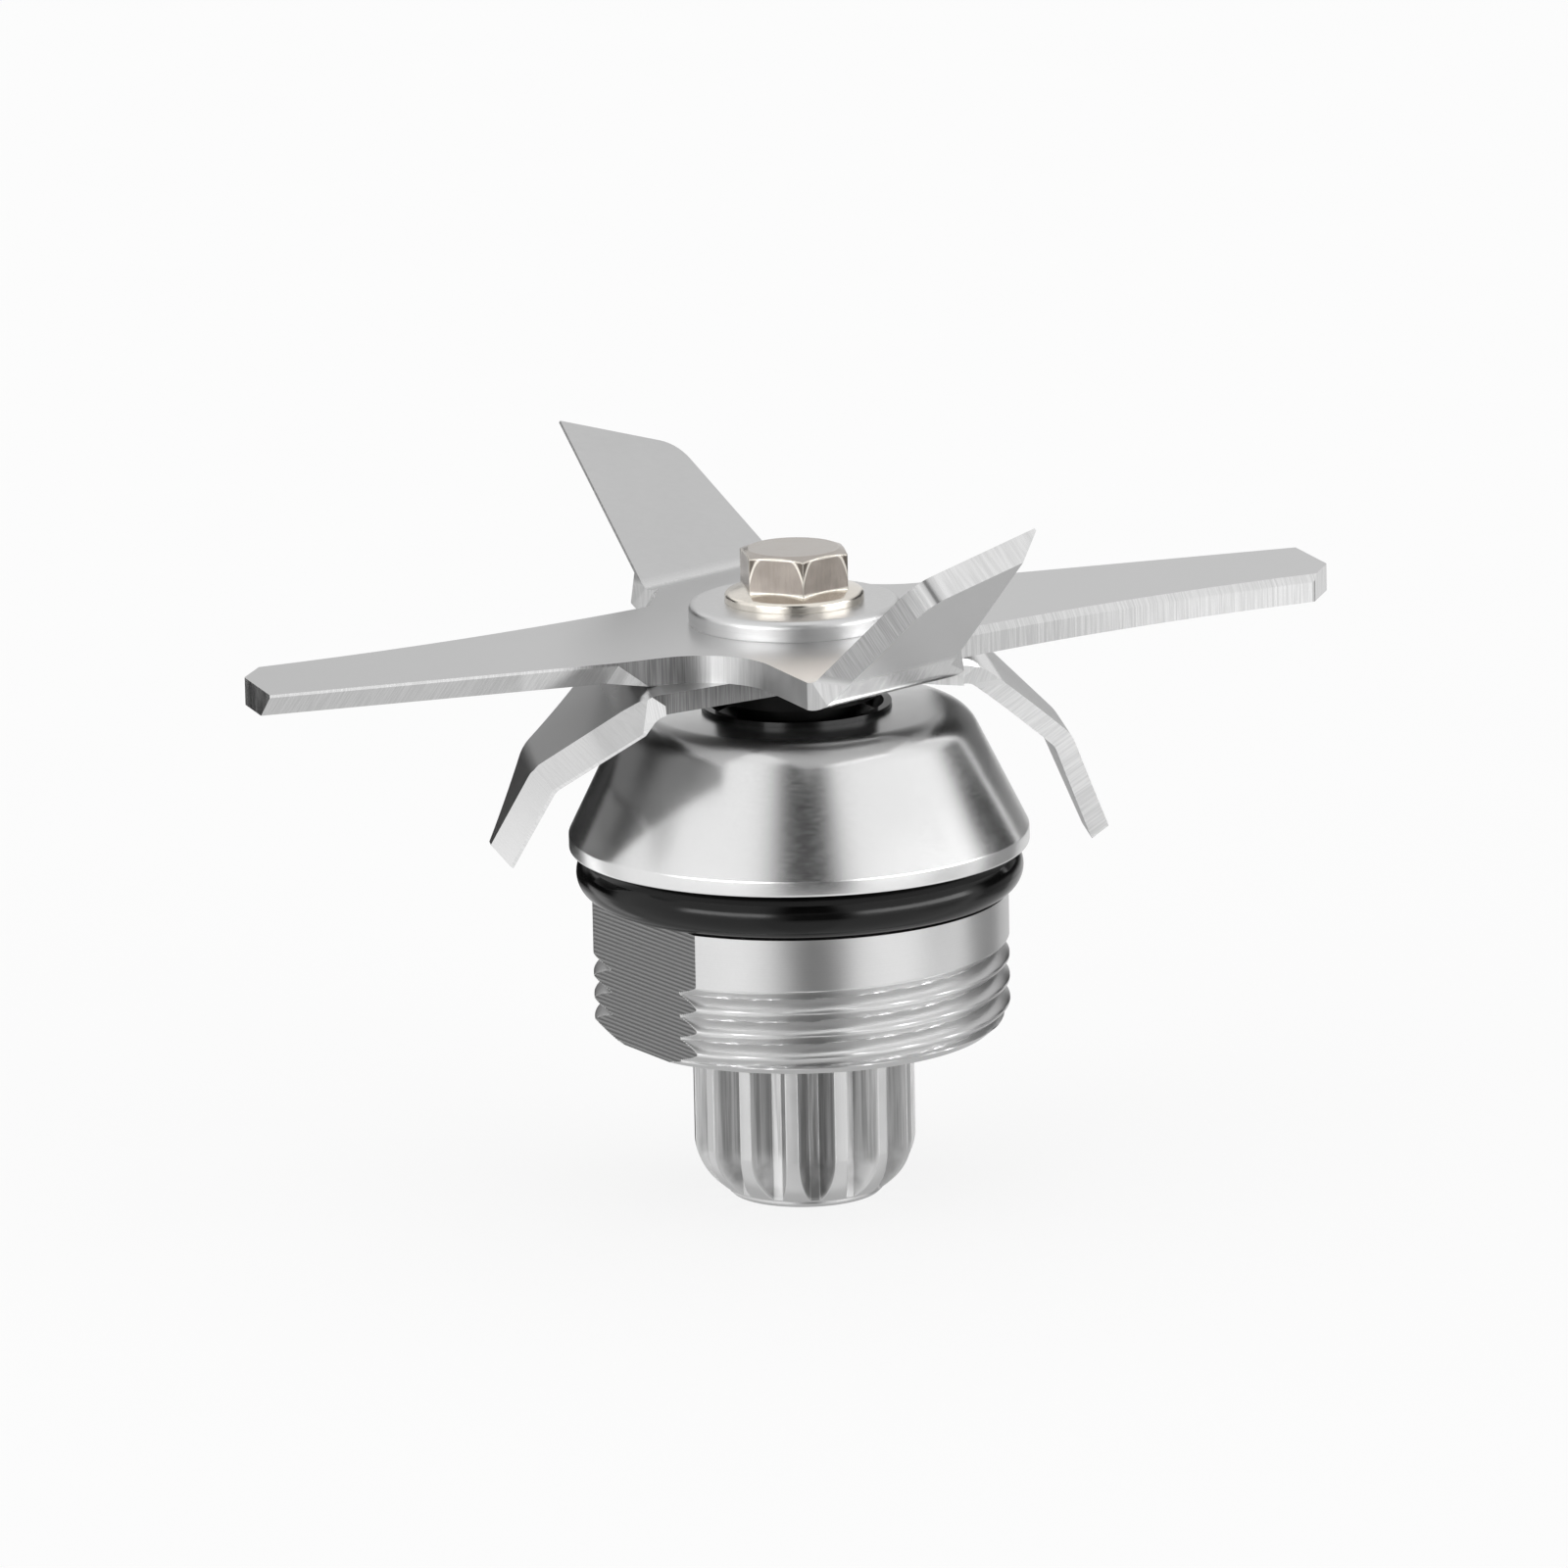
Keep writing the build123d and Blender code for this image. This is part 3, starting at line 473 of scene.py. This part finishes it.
def blade_steel(name, blade):
    """Satin sheet with ground edges, whose marks run across each arm's edge, with painted shade on its
    undersides and a painted dark reflection on the hub's upright walls.
    """
    made, build, shader, coords, normal = material(name)
    at = blade_axes(build, coords, normal, blade)
    on = blade_surfaces(build, at, blade)
    straight = build.stretch(coords, MARK_SCALE)
    folded = build.stretch(build.vector(at.along, at.across, at.thick), MARK_SCALE)
    marks = build.noise(build.mix("VECTOR", on.fold, straight, folded), 1.0, 2.0, 0.6)
    grain = build.noise(build.stretch(coords, GRAIN_SCALE), 1.0, 3.0, 0.6)
    cloud = build.noise(coords, 60.0, 3.0)

    sheet = build.tones(build.blend(0.6, grain, cloud), *SHEET_TONE)
    # painted shade on the undersides
    sheet = build.colours(on.under, sheet, grey(UNDERSIDE_SHADE_TONE))
    sheet_rough = build.spread(build.blend(0.5, grain, cloud), *SHEET_ROUGH)
    edge_height = build.product(marks, build.blend(on.scratched, GROUND_SHARE, SCRATCH_SHARE))
    height = build.blend(on.edges, build.product(grain, GRAIN_SHARE), edge_height)
    paint(
        build, shader, Metallic=1.0,
        Base_Color=build.colours(on.edges, sheet, edge_colour(build, on, marks)),
        Roughness=build.blend(on.edges, sheet_rough, edge_roughness(build, on, marks)),
        Normal=build.bump(height, BLADE_RELIEF * MM),
    )
    return made


def housing_steel():
    """One turned piece: a polished cone, a satin body and a milled flat with a painted dark reflection."""
    made, build, shader, coords, normal = material("housing_steel")
    turned, _, z = radius_and_height(build, coords)
    normal_x, normal_y, _ = build.split(normal)
    toward, _ = build.turn(normal_x, normal_y, radians(FLAT_AZIMUTH))
    body = build.step(z, (LEDGE_Z + BODY_BLUR) * MM, LEDGE_Z * MM)
    flat = build.product(body, build.step(toward, *ON_FLAT))

    lathe = build.noise(turned, 1 / (LATHE_LINE * MM), 3.0, 0.6)
    cloud = build.noise(coords, 110.0, 3.0)
    specks = build.noise(coords, 3200.0, 2.0)
    scratch = build.noise(build.stretch(coords, CONE_SCRATCHES), 1.0, 3.0, 0.7)
    mill = build.math("SINE", build.product(z, tau / (MILL_PITCH * MM)))
    mill = build.math("MULTIPLY_ADD", mill, 0.5, 0.5)

    polished = build.tones(build.blend(0.5, cloud, specks), 0.73, 0.81)
    satin = build.tones(build.blend(0.3, lathe, specks), 0.58, 0.68)
    # painted dark reflection: the milled flat is far darker than the body
    milled = build.tones(build.blend(0.25, mill, specks), 0.13, 0.29)
    cone_rough = build.step(build.blend(0.5, scratch, cloud), *CONE_SPREAD, *CONE_ROUGH)
    body_rough = build.spread(cloud, *BODY_ROUGH)
    height = build.blend(body, build.product(scratch, CONE_SHARE), lathe)
    height = build.blend(flat, height, build.product(mill, MILL_SHARE))
    paint(
        build, shader, Metallic=1.0,
        Base_Color=build.colours(flat, build.colours(body, polished, satin), milled),
        Roughness=build.blend(flat, build.blend(body, cone_rough, body_rough), MILLED_ROUGH),
        Normal=build.bump(height, HOUSING_RELIEF * MM),
    )
    return made


def black_rubber():
    """Smooth moulded rubber with a faint haze."""
    made, build, shader, coords, _ = material("black_rubber")
    cloud = build.noise(coords, 240.0, 3.0)
    pores = build.noise(coords, 5200.0, 2.0)
    paint(
        build, shader,
        Specular_IOR_Level=0.3,
        Base_Color=build.tones(cloud, 0.001, 0.003),
        Roughness=build.spread(build.blend(0.4, cloud, pores), 0.1, 0.18),
        Normal=build.bump(pores, 0.002 * MM),
    )
    return made


def black_spacer():
    """Near-black sleeve and flinger, a painted shade for the dark under the lower blade's hub."""
    made, build, shader, coords, _ = material("black_spacer")
    turned, _, _ = radius_and_height(build, coords)
    lines = build.noise(turned, 1 / (0.2 * MM), 3.0)
    cloud = build.noise(coords, 300.0, 3.0)
    paint(
        build, shader,
        Specular_IOR_Level=0.12,
        # near-black: painted shade under the lower blade's hub
        Base_Color=build.tones(cloud, 0.002, 0.006),
        Roughness=build.spread(build.blend(0.5, cloud, lines), 0.4, 0.6),
        Normal=build.bump(lines, 0.01 * MM),
    )
    return made


def spline_lands(build, radius, z):
    """1 on the lands, 0 in the grooves, from a point's depth below the outline of the blank."""
    below = build.math("SUBTRACT", SPLINE_END_Z, build.math("DIVIDE", z, MM))
    below = build.math("MAXIMUM", below, 0.0)
    square = build.math("SUBTRACT", SPLINE_END_ROUND ** 2, build.math("POWER", below, 2.0))
    outline = build.math("ADD", build.math("SQRT", square), SPLINE_END_R)
    depth = build.math("SUBTRACT", outline, build.math("DIVIDE", radius, MM))
    return build.step(depth, *LAND_DEPTH)


def spline_metal():
    """Satin metal, broached along the teeth: streaked grooves, light lands and painted highlights on the
    edges.
    """
    made, build, shader, coords, _ = material("spline_metal")
    _, radius, z = radius_and_height(build, coords)
    rounded = build.rounded(0.2 * MM)
    on_teeth = build.step(z, *TEETH_Z)
    cloud = build.noise(coords, 260.0, 3.0)
    streaks = build.noise(build.stretch(coords, TOOTH_STREAKS), 1.0, 2.0, 0.6)
    streaks = build.blend(on_teeth, cloud, streaks)
    drawn = build.noise(build.stretch(coords, FINE_TOOTH_STREAKS), 1.0, 2.0, 0.6)
    drawn = build.blend(on_teeth, cloud, drawn)

    groove = build.tones(build.step(build.blend(0.3, streaks, drawn), *TOOTH_SPREAD), 0.36, 0.66)
    land = build.tones(build.blend(0.5, drawn, cloud), 0.52, 0.63)
    faces = build.colours(spline_lands(build, radius, z), groove, land)
    # painted highlight on the teeth's sharp edges
    highlighted = build.product(build.edges(rounded), on_teeth)
    paint(
        build, shader, Metallic=1.0,
        Base_Color=build.colours(highlighted, faces, grey(0.82)),
        Roughness=build.spread(build.blend(0.5, cloud, drawn), 0.3, 0.42),
        Normal=build.bump(drawn, 0.004 * MM, rounded),
    )
    return made


def hexagon_arches(build, x, y, z):
    """The painted highlight arch on each face of the bolt's hexagon, and the corners past it, which take
    painted shade.
    """
    sixth = tau / 6
    angle = build.math("SUBTRACT", build.math("ARCTAN2", y, x), HEX_AZIMUTH)
    face = build.math("ROUND", build.math("DIVIDE", angle, sixth))
    angle = build.math("SUBTRACT", angle, build.product(face, sixth))
    aside = build.product(build.size(build.math("TANGENT", angle)), HEX_HALF)
    way_to_corner = HEX_HALF * tan(sixth / 2) - ARCH_START
    fall = build.math("DIVIDE", build.math("SUBTRACT", aside, ARCH_START), way_to_corner)
    fall = build.math("MAXIMUM", fall, 0.0)
    drop = build.product(build.math("POWER", fall, ARCH_CURVE), ARCH_FALL)
    raised = build.math("ADD", build.math("DIVIDE", z, MM), drop)
    above = build.math("SUBTRACT", raised, HEX_TOP - ARCH_DOWN)
    width = build.math("MULTIPLY_ADD", fall, ARCH_WIDENING, ARCH_WIDTH)
    arch = build.step(build.math("DIVIDE", build.size(above), width), *ARCH_EDGE)
    past_arch = build.product(build.step(above, *CORNER_ABOVE), build.step(fall, *CORNER_ASIDE))
    return arch, past_arch


def bolt_nickel():
    """Warm nickel plate on a forged head, with painted highlights on its flange, edges and the arches of its
    faces, painted shade in the corners past the arches, and a top painted lighter than its sides.
    """
    made, build, shader, coords, normal = material("bolt_nickel")
    x, y, z = build.split(coords)
    upright = build.step(build.size(build.split(normal)[2]), *HEX_SIDE)
    on_hexagon = build.step(z, HEX_FOOT * MM, (HEX_FOOT + HEX_FOOT_BLUR) * MM)
    arch, past_arch = hexagon_arches(build, x, y, z)
    rounded = build.rounded(0.25 * MM)
    # painted highlight on the arches of the side faces and on every sharp edge
    highlighted = build.math("MAXIMUM", build.product(arch, upright), build.edges(rounded))

    cloud = build.noise(coords, 420.0, 3.0)
    drawn = build.noise(build.stretch(coords, BOLT_STREAKS), 1.0, 3.0, 0.6)
    tone = build.spread(build.blend(0.5, cloud, drawn))
    # top painted lighter than the shaded side faces
    faces = build.colours(upright, build.colours(tone, *BOLT_LIT_TOP), build.colours(tone, *BOLT_SHADED_SIDE))
    # painted shade in the corners past the arches
    faces = build.colours(build.product(past_arch, upright), faces, BOLT_CORNER_SHADE)
    # painted highlight everywhere off the hexagon and on the highlighted arches and edges
    dim = build.product(on_hexagon, build.math("SUBTRACT", 1.0, highlighted))
    paint(
        build, shader, Metallic=1.0,
        Base_Color=build.colours(dim, build.colours(tone, *BOLT_HIGHLIGHT), faces),
        Roughness=build.spread(cloud, 0.16, 0.24),
        Normal=build.bump(tone, 0.002 * MM, rounded),
    )
    return made


def cage_plastic():
    """Moulded cage, slightly mottled."""
    made, build, shader, coords, _ = material("cage_plastic")
    cloud = build.noise(coords, 380.0, 3.0)
    fine = build.noise(coords, 5000.0, 2.0)
    paint(
        build, shader,
        Base_Color=build.colours(cloud, *CAGE_TONES),
        Roughness=build.spread(fine, 0.4, 0.55),
        Normal=build.bump(fine, 0.006 * MM),
    )
    return made


def corner(before, at, after, radius, steps):
    """Points that round one corner of a section."""
    at = Vector(at)
    back = (Vector(before) - at).normalized()
    ahead = (Vector(after) - at).normalized()
    half = back.angle(ahead) / 2
    middle = at + (back + ahead).normalized() * (radius / sin(half))
    first = at + back * (radius / tan(half)) - middle
    last = at + ahead * (radius / tan(half)) - middle
    start = atan2(first.y, first.x)
    sweep = (atan2(last.y, last.x) - start + pi) % tau - pi
    made = []
    for step in range(steps + 1):
        angle = start + sweep * step / steps
        made.append((middle.x + radius * cos(angle), middle.y + radius * sin(angle)))
    return made


def off_flat(angle):
    """Degrees from the middle of the flat."""
    return abs((angle - FLAT_AZIMUTH + 180) % 360 - 180)


def thread_radius(angle, z):
    """Outside of the threaded body at an angle in degrees and a height."""
    crest = min(THREAD_R, THREAD_R - ENTRY_CUT + (z - HOUSING_LIFT) * ENTRY_CUT / ENTRY_H)
    part_turn = (angle - THREAD_GROOVE_AZIMUTH) / 360
    turns = (z - THREAD_GROOVE_Z) / THREAD_PITCH - part_turn
    groove = round(turns)
    fade = min(1.0, max(0.0, (THREAD_TURNS - groove - part_turn) / THREAD_RUNOUT))
    form = max(0.0, 1 - abs(turns - groove) / THREAD_FLANK) ** THREAD_ROUND
    radius = min(crest, THREAD_R - THREAD_DEPTH * fade * form)
    off = off_flat(angle)
    if off < FLAT_REACH:
        radius = min(radius, FLAT_TO_AXIS / cos(radians(off)))
    return radius


def column_angles():
    """Angles round the axis in degrees, close together where the thread runs into the flat."""
    angle = 0.0
    made = []
    while angle < 360 - FINE_COLUMN / 2:
        made.append(angle)
        angle += FINE_COLUMN if FINE_FROM <= off_flat(angle) <= FINE_TO else COLUMN
    return made


def housing_rows():
    """Section of the housing as (radius, height); a radius of None is the threaded outside."""
    cone_foot = (LIP_R, CONE_Z)
    cone_head = (CONE_TOP_R, TOP_Z)
    thread_rows = int((THREAD_TOP - HOUSING_LIFT) / THREAD_ROW)
    rows = [(BORE_R + BORE_ENTRY, HOUSING_LIFT)]
    rows += [(None, HOUSING_LIFT + THREAD_ROW * step) for step in range(thread_rows + 2)]
    rows += [(None, (THREAD_TOP + LEDGE_Z) / 2), (None, LEDGE_Z), (GROOVE_R, LEDGE_Z), (GROOVE_R, LIP_Z)]
    rows += corner((GROOVE_R, LIP_Z), (LIP_R, LIP_Z), cone_foot, LIP_ROUND / 2, LIP_STEPS)
    rows += corner((LIP_R, LIP_Z), cone_foot, cone_head, LIP_ROUND, FOOT_STEPS)
    rows += corner(cone_foot, cone_head, (SEAL_R, TOP_Z), CONE_TOP_ROUND, TOP_STEPS)
    rows += [
        (SEAL_R, TOP_Z), (SEAL_R, SEAL_Z), (SEAL_SEAT_R, SEAL_Z),
        (SEAL_SEAT_R, BORE_TOP_Z), (BORE_R, BORE_TOP_Z),
        (BORE_R, RING_GROOVE_HIGH), (RING_GROOVE_R, RING_GROOVE_HIGH),
        (RING_GROOVE_R, RING_GROOVE_LOW), (BORE_R, RING_GROOVE_LOW),
        (BORE_R, HOUSING_LIFT + BORE_ENTRY),
    ]
    return rows


def housing_mesh():
    """The section's rows, turned round the axis and joined into one closed ring of faces."""
    angles = column_angles()
    rows = housing_rows()
    points = []
    for radius, z in rows:
        for angle in angles:
            reach = thread_radius(angle, z) if radius is None else radius
            points.append((reach * cos(radians(angle)) * MM, reach * sin(radians(angle)) * MM, z * MM))
    columns = len(angles)
    faces = []
    for row in range(len(rows)):
        low = row * columns
        high = (row + 1) % len(rows) * columns
        for column in range(columns):
            beside = (column + 1) % columns
            faces.append((low + column, low + beside, high + beside, high + column))
    mesh = bpy.data.meshes.new("threaded_housing")
    mesh.from_pydata(points, [], faces)
    mesh.shade_smooth()
    mesh.set_sharp_from_angle(angle=SHARP_ANGLE)
    return mesh


def threaded_housing():
    """The housing with its jar thread, in place of the plain solid."""
    made = bpy.data.objects.new("threaded_housing", housing_mesh())
    bpy.context.scene.collection.objects.link(made)
    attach(made, "housing")
    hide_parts("bearing_housing")
    return made


def dress(piece, finish):
    """Gives a piece one material."""
    piece.data.materials.clear()
    piece.data.materials.append(finish)


def bearing_finishes():
    """Materials of the pieces that each of the two bearings has."""
    rings = turned_metal("bearing_steel", level=0.62, rough=0.18, line=0.1, depth=0.006)
    balls = turned_metal("ball_steel", level=0.76, rough=0.06, line=0.5, depth=0.001)
    shields = turned_metal("shield_steel", level=0.55, rough=0.36, line=0.2, depth=0.01, warm=0.01)
    return {
        "outer_ring": rings,
        "inner_ring": rings,
        "balls": balls,
        "cage": cage_plastic(),
        "top_shield": shields,
        "bottom_shield": shields,
    }


def finishes():
    """Draws the threaded housing, and gives it and every node a material."""
    housing = housing_steel()
    rubber = black_rubber()
    washer = turned_metal("washer_steel", level=0.68, rough=0.36, line=0.12, depth=0.008, edge=0.2)
    ground = turned_metal("shaft_steel", level=0.6, rough=0.21, line=0.1, depth=0.008)
    spring = turned_metal("spring_steel", level=0.24, rough=0.35, line=0.2, depth=0.01, warm=0.01)
    finish_of = {
        "upper_blade": blade_steel("upper_blade_steel", UPPER_BLADE),
        "lower_blade": blade_steel("lower_blade_steel", LOWER_BLADE),
        "clamp_washer": washer,
        "blade_bolt": bolt_nickel(),
        "blade_spacer": black_spacer(),
        "drive_spline": spline_metal(),
        "bearing_housing": housing,
        "housing_o_ring": rubber,
        "shaft_seal": rubber,
        "seal_garter_spring": spring,
        "retaining_ring": spring,
        "outer_bearing_spacer": ground,
        "inner_bearing_spacer": ground,
        "drive_shaft": ground,
    }
    for piece, finish in bearing_finishes().items():
        finish_of[f"upper_bearing_{piece}"] = finish
        finish_of[f"lower_bearing_{piece}"] = finish
    for name, finish in finish_of.items():
        dress(nodes[name], finish)
    dress(threaded_housing(), housing)


def camera():
    """Camera at the photo's viewing angle."""
    lens = bpy.data.cameras.new("camera")
    lens.lens = LENS_MM
    lens.sensor_width = SENSOR_MM
    lens.clip_end = CLIP_END
    made = bpy.data.objects.new("camera", lens)
    bpy.context.scene.collection.objects.link(made)
    level = cos(VIEW_ELEVATION)
    back = Vector((sin(VIEW_AZIMUTH) * level, -cos(VIEW_AZIMUTH) * level, sin(VIEW_ELEVATION)))
    turn = (-back).to_track_quat("-Z", "Y") @ Quaternion((0, 0, 1), VIEW_ROLL)
    made.rotation_mode = "QUATERNION"
    made.rotation_quaternion = turn
    made.location = AIM + back * VIEW_DISTANCE + turn @ Vector((-AIM_RIGHT, AIM_DOWN, 0))
    bpy.context.scene.camera = made


def floor_paper():
    """Pale paper that takes the shadow, mixed with plain white where it is seen."""
    made, build, shader, coords, _ = material("floor_paper")
    paint(
        build, shader, Roughness=1.0, Specular_IOR_Level=0.0,
        Base_Color=build.tones(build.noise(coords, 40.0, 0.0), 0.93, 0.95),
    )
    path = build.add("LightPath").outputs
    seen = build.math("MAXIMUM", path["Is Glossy Ray"], path["Is Transmission Ray"])
    seen = build.math("MAXIMUM", path["Is Camera Ray"], seen)
    glow = build.add("Emission", {"Strength": 1.0})
    mixed = build.add("MixShader", {
        0: build.product(seen, FLOOR_GLOW), 1: shader.outputs[0], 2: glow.outputs[0],
    })
    output = next(node for node in made.node_tree.nodes if node.type == "OUTPUT_MATERIAL")
    build.feed(output.inputs["Surface"], mixed.outputs[0])
    return made


def floor():
    """Plain pale floor. Reflections look past it at the studio's panels."""
    reach = FLOOR_SIZE
    points = [(-reach, -reach, 0), (reach, -reach, 0), (reach, reach, 0), (-reach, reach, 0)]
    mesh = bpy.data.meshes.new("floor")
    mesh.from_pydata(points, [], [(0, 1, 2, 3)])
    mesh.materials.append(floor_paper())
    made = bpy.data.objects.new("floor", mesh)
    bpy.context.scene.collection.objects.link(made)
    made.visible_glossy = False


def band(build, value, low, high, blur):
    """1 where an angle lies between low and high, in degrees, with blurred ends."""
    rising = build.step(value, radians(low - blur), radians(low + blur))
    falling = build.step(value, radians(high + blur), radians(high - blur))
    return build.product(rising, falling)


def studio():
    """White to the camera, and softboxes with dark flags between them to everything else."""
    world = bpy.data.worlds.new("studio")
    bpy.context.scene.world = world
    world.use_nodes = True
    world.node_tree.nodes.clear()
    build = Nodes(world.node_tree)
    facing = build.add("TexCoord").outputs["Generated"]
    turned = build.add("VectorRotate", {
        "Vector": facing, "Angle": pi / 2 - VIEW_AZIMUTH,
    }, rotation_type="Z_AXIS").outputs[0]
    x, y, z = build.split(turned)
    azimuth = build.math("ARCTAN2", y, x)
    aside = build.size(azimuth)
    elevation = build.math("ARCSINE", z)

    light = BACK_LIGHT
    for level, both_sides, azimuths, elevations in PANELS:
        across = band(build, aside if both_sides else azimuth, *azimuths)
        upright = band(build, elevation, *elevations)
        light = build.blend(build.product(across, upright), light, level)
    seen = build.add("LightPath").outputs["Is Camera Ray"]
    sky = build.add("Background", {"Strength": build.blend(seen, light, 1.0)})
    build.add("OutputWorld", {"Surface": sky.outputs[0]})
    bpy.context.scene.view_settings.view_transform = "Standard"


finishes()
camera()
floor()
studio()
